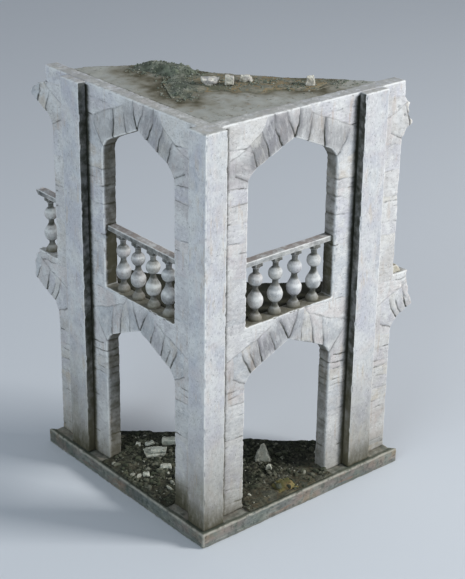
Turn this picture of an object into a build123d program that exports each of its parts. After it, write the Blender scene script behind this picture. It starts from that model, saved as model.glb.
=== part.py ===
from build123d import *
import os

os.makedirs("parts", exist_ok=True)

# Ruined two-storey arcade corner for tabletop terrain: two arched wall panels meet at a square
# pier, with two floor slabs between them and broken ends where the next bays are missing.
# Millimetres, +Z up. The model is drawn from the foot of the pier's outer corner, with one wall
# along +X and the other along +Y, and is moved at the end so that the origin lies under the
# middle of the whole model, on the surface that it stands on.

# ---- driving dimensions ----
BASE_THICKNESS = 7.9
BASE_MARGIN = 1.8           # base showing in front of the pier and the pilasters
BASE_REACH = 125.1          # from the pier's corner to the far tip of the base
WALL_TOP = 200.0

PIER_SIDE = 12.0
FACE_RECESS = 4.4           # wall face set back behind the pier and pilaster faces
WALL_THICKNESS = PIER_SIDE - FACE_RECESS

BAY_START = 27.3            # jamb of the whole bay beside the pier
BAY_WIDTH = 52.8
BAY_END = BAY_START + BAY_WIDTH
PILASTER_START = 91.8
PILASTER_WIDTH = 14.5
WALL_END = 120.8            # jamb of the missing next bay

SILL_TOP = 102.7            # first-floor level
LOWER_PEAK = 88.9
UPPER_PEAK = 186.8
ARCH_RISE = 12.0            # from the corner of jamb and slope up to the arch's peak
HAUNCH_RADIUS = 9.0

RAIL_TOP = 133.2
RAIL_HEIGHT = 2.5
RAIL_DEPTH = 4.8
BALUSTER_SETBACK = 8.7      # baluster axis behind the pier's outer face
BALUSTER_COUNT = 4
BALUSTER_PITCH = 11.6
STUB_RAIL_LENGTH = 19.5
STUB_BALUSTER_FROM_JAMB = 10.4

ROOF_THICKNESS = 6.0
ROOF_DROP = 0.6             # roof slab's top below the walls' tops
FLOOR_THICKNESS = 6.0
EARTH_THICKNESS = 1.2
EARTH_MARGIN = 1.0          # base left bare in front of the earth in the doorways

# ---- broken outer ends of the walls: distance along the wall, height ----
RIGHT_BREAK = [(135.6, 76), (135.2, 86.5), (132.4, 92.3), (131.0, 98.2), (131.6, 104),
               (127.4, 174), (127.0, 179.5), (124.3, 186.0), (124.6, 188.3), (121.8, 192.6), (121.2, 200)]
LEFT_BREAK = [(141.4, 76), (141.8, 88.5), (140.8, 95.5), (137.7, 101.2), (137.9, 104),
              (138.4, 174), (138.2, 183.4), (137.2, 186.7), (133.2, 189.1), (128.2, 190.9),
              (125.2, 193.2), (126.3, 200)]

# ---- broken back edges of the slabs, from the right wall round to the left wall ----
BASE_TIP_CUT = 3.4
BASE_BACK_EDGE = [(122.0, 12.6), (113, 15), (100, 28), (84, 40), (69, 54), (47, 80), (27, 99), (15, 113),
                  (12.6, 122.0)]
FLOOR_BACK_EDGE = [(99, 12), (88, 22), (66, 36), (52, 54), (36, 72), (25, 89), (12, 104)]
ROOF_BACK_EDGE = [(112, 12), (101, 25.5), (86, 39), (75, 53), (67, 61), (59, 72), (52, 86), (43.5, 99),
                  (36, 103.7), (24, 110.8), (12, 114)]
EARTH_BACK_EDGE = [(109, 12), (98, 26.5), (83, 38.5), (67.5, 53), (46, 78.5), (26, 97), (12, 110)]

BASE_TOP = BASE_THICKNESS
EARTH_TOP = BASE_TOP + EARTH_THICKNESS
ROOF_TOP = WALL_TOP - ROOF_DROP

nodes = {}


def mirrored(solid):
    """Swap X and Y, which turns a piece of the right wall into one of the left wall."""
    return mirror(solid, about=Plane(origin=(0, 0, 0), z_dir=(1, -1, 0)))


def plate(points, bottom, top):
    """Flat plate over an outline of (x, y) points."""
    return Pos(0, 0, bottom) * extrude(make_face(Polyline(*points, close=True)), amount=top - bottom)


def upright(points, front, depth):
    """Plate standing along X over an outline of (x, z) points, its front at y = front."""
    outline = make_face(Polyline(*[(x, front, z) for x, z in points], close=True))
    return extrude(outline, amount=depth, dir=(0, 1, 0))


def block(low, high):
    """Box between two opposite corners."""
    size = [h - l for l, h in zip(low, high)]
    middle = [(h + l) / 2 for l, h in zip(low, high)]
    return Pos(*middle) * Box(*size)


# ---- base, floors and earth ----
def base_plate():
    tip = BASE_REACH - BASE_TIP_CUT
    outline = [(-BASE_MARGIN, -BASE_MARGIN), (BASE_REACH, -BASE_MARGIN),
               (tip, BASE_TIP_CUT - BASE_MARGIN), *BASE_BACK_EDGE,
               (BASE_TIP_CUT - BASE_MARGIN, tip), (-BASE_MARGIN, BASE_REACH)]
    return plate(outline, 0, BASE_TOP)


def slab_between_walls(back_edge, bottom, top):
    """Floor slab that fills the corner between the two walls' inner faces."""
    return plate([(PIER_SIDE, PIER_SIDE), *back_edge], bottom, top)


def groundwork():
    """Thin skin of modelled earth inside the walls and across the two doorways."""
    room = slab_between_walls(EARTH_BACK_EDGE, BASE_TOP, EARTH_TOP)
    front = EARTH_MARGIN - BASE_MARGIN
    doorway = block((BAY_START, front, BASE_TOP), (BAY_END, PIER_SIDE, EARTH_TOP))
    return room + doorway + mirrored(doorway)


# ---- walls ----
def arch_cutter(start, bottom, peak):
    """Four-centred arch opening: upright jambs, rounded haunches and straight slopes to a peak."""
    middle = start + BAY_WIDTH / 2
    corner = peak - ARCH_RISE
    outline = Polyline((start, bottom), (start, corner), (middle, peak),
                       (start + BAY_WIDTH, corner), (start + BAY_WIDTH, bottom), close=True)
    face = make_face(outline)
    haunches = [v for v in face.vertices() if abs(v.Y - corner) < 0.01]
    rounded = fillet(haunches, HAUNCH_RADIUS)
    standing = Plane(origin=(0, 0, 0), x_dir=(1, 0, 0), z_dir=(0, -1, 0)) * rounded
    return extrude(standing, amount=3 * PIER_SIDE, both=True)


def wall_panel(broken_edge):
    """Wall from the pier to its broken end, with the whole bay and the start of the next one."""
    reach = max(x for x, z in broken_edge)
    outline = [(PIER_SIDE, BASE_TOP), (reach, BASE_TOP), *broken_edge, (PIER_SIDE, WALL_TOP)]
    panel = upright(outline, FACE_RECESS, WALL_THICKNESS)
    below_base = BASE_TOP - 1
    for start in (BAY_START, WALL_END):
        panel -= arch_cutter(start, below_base, LOWER_PEAK)
        panel -= arch_cutter(start, SILL_TOP, UPPER_PEAK)
    return panel


def outer_pilaster():
    end = PILASTER_START + PILASTER_WIDTH
    return block((PILASTER_START, 0, BASE_TOP), (end, FACE_RECESS, WALL_TOP))


# ---- balustrades ----
RAIL_BOTTOM = RAIL_TOP - RAIL_HEIGHT
FOOT_RADIUS = 3.0
PEAR_RADIUS = 3.5
BALL_RADIUS = 3.2
NECK_RADIUS = 1.4
ABACUS_SIDE = 4.6
ABACUS_HEIGHT = 1.6


def baluster(x):
    """Turned baluster: flared foot, pear, ball and a square block under the rail."""
    height = RAIL_BOTTOM - SILL_TOP
    shaft_top = height - ABACUS_HEIGHT
    outline = [
        Line((0, 0), (FOOT_RADIUS, 0)),
        Line((FOOT_RADIUS, 0), (FOOT_RADIUS, 0.8)),
        ThreePointArc((FOOT_RADIUS, 0.8), (NECK_RADIUS + 0.4, 2.4), (NECK_RADIUS, 4.8)),
        Line((NECK_RADIUS, 4.8), (NECK_RADIUS, 5.6)),
        ThreePointArc((NECK_RADIUS, 5.6), (2.9, 7.1), (PEAR_RADIUS, 9.6)),
        ThreePointArc((PEAR_RADIUS, 9.6), (2.75, 13.0), (NECK_RADIUS, 15.8)),
        Line((NECK_RADIUS, 15.8), (NECK_RADIUS, 16.4)),
        ThreePointArc((NECK_RADIUS, 16.4), (BALL_RADIUS, 20.0), (NECK_RADIUS, 23.6)),
        Line((NECK_RADIUS, 23.6), (NECK_RADIUS, shaft_top)),
        Line((NECK_RADIUS, shaft_top), (0, shaft_top)),
        Line((0, shaft_top), (0, 0)),
    ]
    shaft = revolve(Plane.XZ * make_face(outline), axis=Axis.Z)
    abacus = Pos(0, 0, shaft_top) * Box(
        ABACUS_SIDE, ABACUS_SIDE, ABACUS_HEIGHT, align=(Align.CENTER, Align.CENTER, Align.MIN))
    return Pos(x, BALUSTER_SETBACK, SILL_TOP) * (shaft + abacus)


def handrail():
    """Rail across the whole bay, held between its jambs."""
    front = BALUSTER_SETBACK - RAIL_DEPTH / 2
    return block((BAY_START, front, RAIL_BOTTOM), (BAY_END, front + RAIL_DEPTH, RAIL_TOP))


def stub_handrail():
    """Start of the next bay's rail, snapped off at a slant."""
    front = BALUSTER_SETBACK - RAIL_DEPTH / 2
    end = WALL_END + STUB_RAIL_LENGTH
    slant = 1.6
    outline = [(WALL_END, RAIL_BOTTOM), (end - slant, RAIL_BOTTOM), (end, RAIL_TOP), (WALL_END, RAIL_TOP)]
    return upright(outline, front, RAIL_DEPTH)


# ---- loose rubble ----
def chunk(x, y, bottom, size, turn, lean=(0, 0), crown=0.75):
    """Broken lump on a flat bed: a rectangle drawn in and leaned over towards its top."""
    length, width, height = size
    foot = Rectangle(length, width)
    head = Pos(lean[0], lean[1], height) * Rectangle(length * crown, width * crown)
    return Pos(x, y, bottom) * Rot(0, 0, turn) * loft([foot, head])


HEAP_HEIGHT = 3.8
SPILL_HEIGHT = 0.8
TILE_HEIGHT = 2.2


def gravel_mound():
    """Heap of fallen gravel at the back of the roof with a thin spill in front of it."""
    foot = [(30.5, 94), (36, 102.5), (43, 97), (50.5, 85.5), (57, 73), (52, 67), (40, 70), (36, 85)]
    crest = [(40, 90.5), (41.5, 93), (44.5, 91), (47.5, 83.5), (49.5, 76), (47.5, 74), (44, 78), (42, 85)]
    heap = loft([
        Pos(0, 0, ROOF_TOP) * make_face(Polyline(*foot, close=True)),
        Pos(0, 0, ROOF_TOP + HEAP_HEIGHT) * make_face(Polyline(*crest, close=True)),
    ])
    spill = [(36, 76), (30, 68), (20, 49), (25, 43), (34, 50), (44, 44), (56, 31), (64, 30), (80, 19),
             (92, 21), (95, 27), (84, 38), (73, 50), (65, 58), (57, 69), (50, 77)]
    return heap + plate(spill, ROOF_TOP, ROOF_TOP + SPILL_HEIGHT)


def earth_mound():
    """Heap of ochre earth in the right doorway."""
    return chunk(54.5, 5.6, EARTH_TOP, (12, 9.5, 3.0), -8, crown=0.5)


# ---- the model ----
nodes["base_plate"] = base_plate()
nodes["groundwork"] = groundwork()
nodes["corner_pier"] = block((0, 0, BASE_TOP), (PIER_SIDE, PIER_SIDE, WALL_TOP))
nodes["right_wall"] = wall_panel(RIGHT_BREAK)
nodes["left_wall"] = mirrored(wall_panel(LEFT_BREAK))
nodes["right_outer_pilaster"] = outer_pilaster()
nodes["left_outer_pilaster"] = mirrored(outer_pilaster())
nodes["first_floor_slab"] = slab_between_walls(FLOOR_BACK_EDGE, SILL_TOP - FLOOR_THICKNESS, SILL_TOP)
nodes["roof_slab"] = slab_between_walls(ROOF_BACK_EDGE, ROOF_TOP - ROOF_THICKNESS, ROOF_TOP)

nodes["right_handrail"] = handrail()
nodes["left_handrail"] = mirrored(handrail())
bay_middle = BAY_START + BAY_WIDTH / 2
for count in range(BALUSTER_COUNT):
    place = bay_middle + (count - (BALUSTER_COUNT - 1) / 2) * BALUSTER_PITCH
    nodes[f"right_baluster_{count + 1}"] = baluster(place)
    nodes[f"left_baluster_{count + 1}"] = mirrored(baluster(place))
nodes["left_stub_handrail"] = mirrored(stub_handrail())
nodes["left_stub_baluster"] = mirrored(baluster(WALL_END + STUB_BALUSTER_FROM_JAMB))

spill_top = ROOF_TOP + SPILL_HEIGHT
nodes["roof_gravel"] = gravel_mound()
nodes["roof_flat_chunk"] = chunk(45.9, 53.6, spill_top, (10.2, 6, 3.0), -38, crown=0.85)
nodes["roof_block_chunk"] = chunk(52.1, 47.6, spill_top, (4.5, 4.2, 4.2), -40, crown=0.9)
nodes["roof_wedge_chunk"] = chunk(61.4, 47.1, spill_top, (8.5, 4.5, 3.1), -40, crown=0.5)
nodes["roof_small_chunk"] = chunk(81.1, 25.4, spill_top, (5.5, 4.5, 4.6), -38, crown=0.5)

nodes["sill_fragment"] = chunk(124.5, 8.2, SILL_TOP, (6, 5.6, 3.2), 0, lean=(-0.6, 0), crown=0.5)
nodes["floor_tile_chunk"] = chunk(23.1, 68, EARTH_TOP, (10.6, 8.6, TILE_HEIGHT), -22, crown=0.95)
nodes["stacked_tile_chunk"] = chunk(24.3, 65.8, EARTH_TOP + TILE_HEIGHT, (8.4, 4.4, 2.0), -38, crown=0.95)
nodes["brick_chunk"] = chunk(36.4, 71, EARTH_TOP, (10.6, 5, 3.2), -37, crown=0.9)
nodes["curved_tile_chunk"] = chunk(26.9, 76.9, EARTH_TOP, (6, 2.8, 1.8), -10, crown=0.8)
nodes["pale_chunk"] = chunk(19.9, 54.1, EARTH_TOP, (7.3, 4.5, 2.2), -32, crown=0.7)
nodes["doorway_stone"] = chunk(8.2, 54.7, EARTH_TOP, (4.3, 3.5, 2.0), -35, crown=0.7)
nodes["back_stone"] = chunk(22, 79.7, EARTH_TOP, (3.2, 2.6, 2.0), -35, crown=0.7)
nodes["pointed_shard"] = chunk(61.8, 30, EARTH_TOP, (8.6, 4.5, 8.8), -38, lean=(0, 1.2), crown=0.18)
nodes["small_stone"] = chunk(58.5, 21.4, EARTH_TOP, (4.4, 3.2, 2.6), -40, crown=0.6)
nodes["earth_mound"] = earth_mound()

whole = Compound(children=[Compound(Part() + solid) for solid in nodes.values()]).bounding_box()
to_origin = Pos(-whole.center().X, -whole.center().Y, -whole.min.Z)
for name, solid in nodes.items():
    export_step(to_origin * solid, f"parts/{name}.step")
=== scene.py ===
import math

import bmesh
import bpy
import numpy as np
from mathutils import Matrix, Vector


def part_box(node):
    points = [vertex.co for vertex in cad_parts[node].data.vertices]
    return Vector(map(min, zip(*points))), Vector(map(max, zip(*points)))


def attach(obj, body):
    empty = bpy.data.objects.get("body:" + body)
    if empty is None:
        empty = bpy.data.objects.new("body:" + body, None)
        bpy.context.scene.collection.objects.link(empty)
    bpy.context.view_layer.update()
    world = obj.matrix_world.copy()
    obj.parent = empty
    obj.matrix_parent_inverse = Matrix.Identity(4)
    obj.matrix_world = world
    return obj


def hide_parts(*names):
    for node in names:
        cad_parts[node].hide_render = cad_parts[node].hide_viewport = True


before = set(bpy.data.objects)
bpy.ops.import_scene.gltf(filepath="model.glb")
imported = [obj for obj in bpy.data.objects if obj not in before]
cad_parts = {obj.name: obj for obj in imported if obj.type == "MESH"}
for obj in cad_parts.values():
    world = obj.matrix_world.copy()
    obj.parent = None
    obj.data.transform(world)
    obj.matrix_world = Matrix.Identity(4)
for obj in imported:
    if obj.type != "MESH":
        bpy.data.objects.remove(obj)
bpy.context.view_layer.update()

# The looks of a ruined two-storey arcade corner, cast in plaster and painted for the gaming table.
# Every CAD node is stood for by a worn, detailed piece built around the node's own shape.
# Lengths are millimetres from the foot of the pier's outer corner: s runs along a wall, o is the
# depth behind the pier's face and z is up. MM turns them into the frame's metres.

MM = 0.001
X, Y, Z = 0, 1, 2
pier_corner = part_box("corner_pier")[0]
CORNER = np.array([pier_corner.x, pier_corner.y, 0.0])


def span(node, axis):
    """Lowest and highest place of a CAD node along an axis."""
    low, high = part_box(node)
    return (low[axis] - CORNER[axis]) / MM, (high[axis] - CORNER[axis]) / MM


PIER_SIDE = span("corner_pier", X)[1]
BASE_TOP, WALL_TOP = span("corner_pier", Z)
WALL_FRONT, WALL_BACK = span("right_wall", Y)
BAY_START, BAY_END = span("right_handrail", X)
BAY_MIDDLE = (BAY_START + BAY_END) / 2
PILASTER_START, PILASTER_END = span("right_outer_pilaster", X)
NEXT_BAY = span("left_stub_handrail", Y)[0]
BAY_PITCH = NEXT_BAY - BAY_START
SILL = span("first_floor_slab", Z)[1]
ROOF = span("roof_slab", Z)[1]
EARTH = span("groundwork", Z)[1]
RAIL_BOTTOM, RAIL_TOP = span("right_handrail", Z)

VOXEL_SCALE = 1.0
MAX_FACES = 196_000         # triangles in one piece


# ---- seeded noise over arrays of points ----
def lattice_random(cells, seed):
    """A number from 0 to 1 for each whole-number place, the same on every run."""
    mixed = np.full(len(cells), seed * 40503 + 977, np.uint32)
    for axis, prime in enumerate((374761393, 668265263, 2246822519)):
        mixed ^= cells[:, axis].astype(np.uint32) * np.uint32(prime)
        mixed ^= mixed >> np.uint32(15)
        mixed *= np.uint32(739982445)
        mixed ^= mixed >> np.uint32(12)
    return mixed.astype(float) / 2**32


def noise(points, size, seed=0):
    """Smooth noise from -1 to 1 with lumps about size mm across; size may differ by axis."""
    scaled = points / np.asarray(size, float)
    cell = np.floor(scaled).astype(np.int64)
    part = scaled - cell
    part = part * part * (3 - 2 * part)
    total = np.zeros(len(points))
    for corner in np.ndindex(2, 2, 2):
        weight = np.prod(np.where(corner, part, 1 - part), axis=1)
        total += weight * lattice_random(cell + corner, seed)
    return total * 2 - 1


def rough(points, size, seed=0, octaves=3):
    """Noise with finer and weaker noise on top of it."""
    total = 0
    for octave in range(octaves):
        total = total + noise(points, np.asarray(size, float) / 2**octave, seed + 31 * octave) / 1.8**octave
    return total


def flat_noise(places, size, seed):
    """Noise over places (x, y)."""
    return noise(np.column_stack([places, 0 * places[:, 0]]), size, seed)


def smoothstep(value, low, high):
    part = np.clip((value - low) / (high - low), 0, 1)
    return part * part * (3 - 2 * part)


def level_share(normals):
    """1 on faces that look up, 0 on the sides and below."""
    return smoothstep(normals[:, Z], 0.6, 0.9)


def back_share(normals):
    """1 on faces that look away from the corner, which are the broken ones on slabs."""
    return smoothstep(normals[:, X] + normals[:, Y], 0.4, 0.9)


# ---- distances ----
def distance_to_line(points, line, reach):
    """Distance to a line of points, in any number of dimensions; beyond reach it stays at reach."""
    nearest = np.full(len(points), float(reach))
    line = np.asarray(line, float)
    for start, end in zip(line[:-1], line[1:]):
        near = np.all(points > np.minimum(start, end) - reach, axis=1)
        near &= np.all(points < np.maximum(start, end) + reach, axis=1)
        if not near.any():
            continue
        here = points[near] - start
        way = end - start
        along = np.clip(here @ way / max(way @ way, 1e-9), 0, 1)
        found = np.linalg.norm(here - along[:, None] * way, axis=1)
        nearest[near] = np.minimum(nearest[near], found)
    return nearest


def to_lines(places, lines, reach):
    """Distance from places (x, y) to the nearest of several lines."""
    return np.minimum.reduce([distance_to_line(places, line, reach) for line in lines])


def closeness_to_arrises(points, node, reach):
    """1 on the sharp outer edges of a CAD node, falling to 0 at reach."""
    shape = welded(node)
    nearest = np.full(len(points), float(reach))
    for edge in shape.edges:
        if len(edge.link_faces) == 2 and edge.calc_face_angle_signed() > 0.5:
            ends = [(np.array(v.co) - CORNER) / MM for v in edge.verts]
            nearest = np.minimum(nearest, distance_to_line(points, ends, reach))
    shape.free()
    return 1 - nearest / reach


def closeness_to_nodes(points, nodes, reach):
    """1 where the point touches one of the nodes' boxes, falling to 0 at reach."""
    closest = np.zeros(len(points))
    for node in nodes:
        spans = np.array([span(node, axis) for axis in (X, Y, Z)])
        outside = np.maximum(np.maximum(spans[:, 0] - points, points - spans[:, 1]), 0)
        away = np.linalg.norm(outside, axis=1)
        closest = np.maximum(closest, 1 - np.minimum(away / reach, 1))
    return closest


# ---- meshes ----
def welded(node):
    """A CAD node's mesh as bmesh with its doubled points joined."""
    shape = bmesh.new()
    shape.from_mesh(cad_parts[node].data)
    bmesh.ops.remove_doubles(shape, verts=shape.verts, dist=0.01 * MM)
    bmesh.ops.dissolve_limit(shape, angle_limit=0.01, verts=shape.verts, edges=shape.edges)
    return shape


def baked(mesh, kind, **settings):
    """The mesh with one modifier applied."""
    carrier = bpy.data.objects.new("carrier", mesh)
    bpy.context.scene.collection.objects.link(carrier)
    modifier = carrier.modifiers.new("step", kind)
    for key, value in settings.items():
        setattr(modifier, key, value)
    seen = bpy.context.evaluated_depsgraph_get()
    seen.update()
    result = bpy.data.meshes.new_from_object(carrier.evaluated_get(seen), depsgraph=seen)
    bpy.data.objects.remove(carrier)
    return result


def mesh_from(points, faces):
    """A mesh from points in mm and lists of corners."""
    mesh = bpy.data.meshes.new("made")
    mesh.from_pydata((np.asarray(points) * MM + CORNER).tolist(), [], faces)
    mesh.update()
    return mesh


class Skin:
    """An even skin around a solid, worn down point by point and then painted."""

    def __init__(self, mesh):
        self.mesh = mesh

    @classmethod
    def around(cls, node, voxel, tuck=None):
        """A fine skin around a node. tuck is (axis, place, amount): the end face that lies at that
        place moves by that amount, into the neighbour, so that no seam shows."""
        shape = welded(node)
        if tuck:
            axis, place, amount = tuck
            for vert in shape.verts:
                if abs((vert.co[axis] - CORNER[axis]) / MM - place) < 0.05:
                    vert.co[axis] += amount * MM
        mesh = bpy.data.meshes.new("solid")
        shape.to_mesh(mesh)
        shape.free()
        voxel_size = voxel * VOXEL_SCALE * MM
        return cls(baked(mesh, "REMESH", mode="VOXEL", voxel_size=voxel_size, use_smooth_shade=True))

    def read(self, field):
        found = np.empty(len(self.mesh.vertices) * 3)
        self.mesh.vertices.foreach_get(field, found)
        return found.reshape(-1, 3)

    @property
    def normals(self):
        return self.read("normal")

    @property
    def points(self):
        return (self.read("co") - CORNER) / MM

    @points.setter
    def points(self, moved):
        self.mesh.vertices.foreach_set("co", (moved * MM + CORNER).ravel())
        self.mesh.update()

    def push(self, amount):
        """Moves each point along its normal, outwards for a positive amount."""
        self.points = self.points + self.normals * np.asarray(amount)[:, None]

    def relax(self, rounds):
        self.mesh = baked(self.mesh, "SMOOTH", factor=0.5, iterations=rounds)

    def thin(self):
        """Brings the piece under the largest number of triangles."""
        triangles = sum(len(face.vertices) - 2 for face in self.mesh.polygons)
        if triangles > MAX_FACES:
            self.mesh = baked(self.mesh, "DECIMATE", ratio=MAX_FACES / triangles)

    def paint(self, **layers):
        """Stores a number or a vector for each point, or one number for all of them, for the
        materials to read. A layer that a piece lacks reads as 0."""
        for name, values in layers.items():
            values = np.asarray(values, np.float32)
            if values.ndim == 0:
                values = np.full(len(self.mesh.vertices), values)
            kind, field = ("FLOAT", "value") if values.ndim == 1 else ("FLOAT_VECTOR", "vector")
            layer = self.mesh.attributes.new(name, kind, "POINT")
            layer.data.foreach_set(field, values.ravel())

    def finish(self, name, slot, material, *nodes):
        """Puts the piece in the scene in place of CAD nodes. Loose grains replace none and stay
        faceted."""
        self.mesh.name = name
        self.mesh.materials.clear()
        self.mesh.materials.append(material)
        piece = bpy.data.objects.new(name, self.mesh)
        bpy.context.scene.collection.objects.link(piece)
        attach(piece, "root")
        if nodes:
            self.mesh.shade_smooth()
            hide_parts(*nodes)
        return piece


# ---- the masonry that is scored into the walls ----
# Each joint is (strength, its points along the wall and up, from the peak of its arch).
# Both storeys and both walls share their arch patterns, as castings from the same moulds do.
UPPER_JOINTS = [
    (0.6, [(-25.1, -15.3), (-33.7, -10.8)]),
    (0.8, [(-21.2, -9.8), (-23.2, -2.8), (-26.2, 2.7)]),
    (0.9, [(-14.4, -6.8), (-16.1, 0.2), (-18.7, 5.7), (-20.2, 13.5)]),
    (1.0, [(-6.9, -3.3), (-9.2, 1.2), (-11.3, 5.7), (-12.4, 13.5)]),
    (0.8, [(0, 0), (-2.3, 5.2), (-4.5, 10.2), (-5.2, 13.5)]),
    (1.0, [(0, 0), (1.9, 4.9), (2.9, 13.5)]),
    (0.7, [(7.5, -3.4), (9.0, 1.2), (9.8, 8.5)]),
    (1.3, [(18.5, -9.5), (17.3, -0.8), (18.1, 7.2), (18.4, 13.5)]),
    (0.6, [(24.9, -15.3), (30.3, -8.8), (33.3, -2.8)]),
]
LOWER_JOINTS = [
    (0.6, [(-25.2, -15.1), (-33.7, -10.4)]),
    (0.9, [(-22.7, -9.9), (-26.2, -4.4), (-28.3, 0.8)]),
    (0.7, [(-19.5, -8.6), (-21.7, -4.9), (-23.7, -0.6)]),
    (1.0, [(-15.7, -7.1), (-17.3, -2.7), (-18.1, 1.1), (-20.0, 7.1)]),
    (0.8, [(-7.7, -3.5), (-9.4, 1.1), (-12.1, 7.1)]),
    (1.0, [(0, 0), (-2.7, 5.6), (-6.1, 10.8)]),
    (0.8, [(0, 0), (1.9, 3.3), (3.8, 8.1), (4.8, 13.8)]),
    (0.6, [(7.8, -3.5), (7.3, 2.1), (8.8, 8.1)]),
    (0.8, [(15.6, -7.1), (14.9, 1.1), (12.6, 8.1)]),
    (0.7, [(22.3, -11.4), (21.6, -2.9), (20.0, 7.1)]),
    (0.6, [(25.5, -16.4), (31.3, -8.9), (34.8, -4.9)]),
]
# The upper rim of each ring of arch stones, left and right of the peak.
UPPER_RIM = [(-42, -4.3), (-32, -1.5), (-24.7, 2.0), (-19.7, 5.8), (-15, 14), (8, 14), (9.7, 9.2),
             (18.3, 5.5), (27.3, 1.5), (38.3, -2.8)]
LOWER_RIM = [(-42, -2.4), (-31.7, 1.9), (-20, 5.8), (-11.7, 10.1), (-7, 14), (9, 14), (12.3, 9.6),
             (25.8, 3.2), (38.3, -1.4)]
RING_FOOT = [(-42, -13), (-26, -18), (26, -18), (42, -13)]
RING_REACH = 41
ARCH_SLOPE_S, ARCH_SLOPE_Z = (-26, 0, 26), (-12, 0, -12)

GROOVE_WIDTH = 0.5
GROOVE_DEPTH = 0.5
RIM_STRENGTH = 0.45
WARP = 0.42                 # how far the joints wander, mm
COURSE_TILT = 0.07          # of the boundary between two stones, up per mm along
STUB_DARKNESS = 0.35        # of the arch stones on the broken stubs


def arch_peaks():
    """Heights of the lower and the upper arch's peak, from the wall's own mesh."""
    heights = [(v.co.z - CORNER[Z]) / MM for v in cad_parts["right_wall"].data.vertices
               if abs((v.co.x - CORNER[X]) / MM - BAY_MIDDLE) < 0.2]
    return min(heights), max(h for h in heights if h < WALL_TOP - 1)


LOWER_PEAK, UPPER_PEAK = arch_peaks()
ARCHES = [(LOWER_PEAK, LOWER_JOINTS, LOWER_RIM), (UPPER_PEAK, UPPER_JOINTS, UPPER_RIM)]


def course_lines(strip):
    """Heights and tilts of the level joints in one strip of wall."""
    draw = np.random.default_rng(100 + strip)
    heights, strengths, height = [], [], BASE_TOP + 3
    while height < WALL_TOP - 1.5:
        heights.append(height)
        strengths.append(draw.uniform(0.5, 0.85) if draw.random() < 0.36 else draw.uniform(0.12, 0.34))
        height += draw.uniform(1.9, 3.6)
    tilts = draw.normal(-0.07, 0.05, len(heights))
    return np.array(heights), tilts, np.array(strengths)


def level_joints(s, o, z, start, strip):
    """In one strip of wall: how deep each place lies in a level joint, and the number of its stone."""
    heights, tilts, strengths = course_lines(strip)
    along = s - start
    stone = np.searchsorted(heights[strengths > 0.4], z + along * COURSE_TILT) + 100 * strip
    depth = np.zeros(len(s))
    for number, (height, tilt, strength) in enumerate(zip(heights, tilts, strengths)):
        away = z - height - along * tilt
        near = np.abs(away) < 3 * GROOVE_WIDTH
        if not near.any():
            continue
        broken = flat_noise(np.column_stack([s[near], o[near]]), 5, 900 + number)
        line = strength * (0.35 + 0.65 * smoothstep(broken, -0.35, 0.3))
        line = line * np.exp(-(away[near] / (0.75 * GROOVE_WIDTH)) ** 2)
        depth[near] = np.maximum(depth[near], line)
    return depth, stone


def arch_joints(across, up, joints):
    """For places from an arch's peak: how deep they lie in a joint, how near one is, the number of
    their stone and how it leans."""
    flat = np.column_stack([across, up])
    depth, halo, lean = np.zeros((3, len(flat)))
    count = np.zeros(len(flat), np.int64)
    for strength, line in joints:
        away = distance_to_line(flat, line, 4)
        line_s, line_z = np.array(line).T
        fade = 1 - 0.55 * smoothstep(up - line_z[0], 3, 13)
        depth = np.maximum(depth, strength * fade * np.exp(-(away / GROOVE_WIDTH) ** 2))
        halo = np.maximum(halo, strength * np.exp(-away / 1.5))
        passed = across > np.interp(up, line_z, line_s)
        count += passed
        lean = np.where(passed, math.atan2(line_s[-1] - line_s[0], line_z[-1] - line_z[0]), lean)
    return depth, halo, count, lean


def masonry(points):
    """For points (s, o, z): how deep they lie in a joint, a random number for their stone, the angle
    from upright of the tool marks on it, and how dark an arch stone is."""
    s, o, z = points.T
    s = s + WARP * (noise(points, 5, 11) + 0.5 * noise(points, 1.7, 13))
    z = z + WARP * (noise(points, 5, 12) + 0.5 * noise(points, 1.7, 14))
    strip = np.digitize(s, [BAY_MIDDLE, PILASTER_END - 4])
    joint = np.zeros(len(points))
    stone = np.zeros(len(points), np.int64)
    for index, start in enumerate((BAY_START, BAY_END, NEXT_BAY)):
        here = strip == index
        joint[here], stone[here] = level_joints(s[here], o[here], z[here], start, index)

    turn = np.full(len(points), math.pi / 2)
    shade = np.zeros(len(points))
    for number, (peak, joints, rim) in enumerate(ARCHES):
        for shift in (0, BAY_PITCH):
            across, up = s - BAY_MIDDLE - shift, z - peak
            below_rim = np.interp(across, *np.array(rim).T) - up
            ring = (np.abs(across) < RING_REACH) & (below_rim > 0)
            ring &= up > np.interp(across, *np.array(RING_FOOT).T)
            if shift:
                ring &= across < 0
            depth, halo, count, lean = arch_joints(across, up, joints)
            joint = np.where(ring, depth, joint)
            stone = np.where(ring, 400 + 40 * number + 20 * (shift > 0) + count, stone)
            turn = np.where(ring, lean, turn)
            above_opening = smoothstep(up - np.interp(across, ARCH_SLOPE_S, ARCH_SLOPE_Z), 0, 3)
            rising = smoothstep(-across, 1, 5) * (1 - smoothstep(-across, 20, 27))
            stones = (0.3 + 0.7 * above_opening) * (0.4 + 0.6 * rising)
            stones = stones * (0.25 + 0.75 * smoothstep(below_rim, 0, 7))
            darkness = STUB_DARKNESS if shift else 1.0
            shade = np.where(ring, darkness * np.minimum(stones + 0.6 * halo, 1), shade)
            for half in (rim[:4], rim[-4:]):
                away = distance_to_line(np.column_stack([across, up]), half, 2.5)
                joint = np.maximum(joint, RIM_STRENGTH * np.exp(-(away / GROOVE_WIDTH) ** 2))
    keys = np.column_stack([stone, stone * 7, np.zeros_like(stone)])
    return joint, lattice_random(keys, 3), turn, shade * (0.6 + 0.4 * lattice_random(keys, 4))


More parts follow.
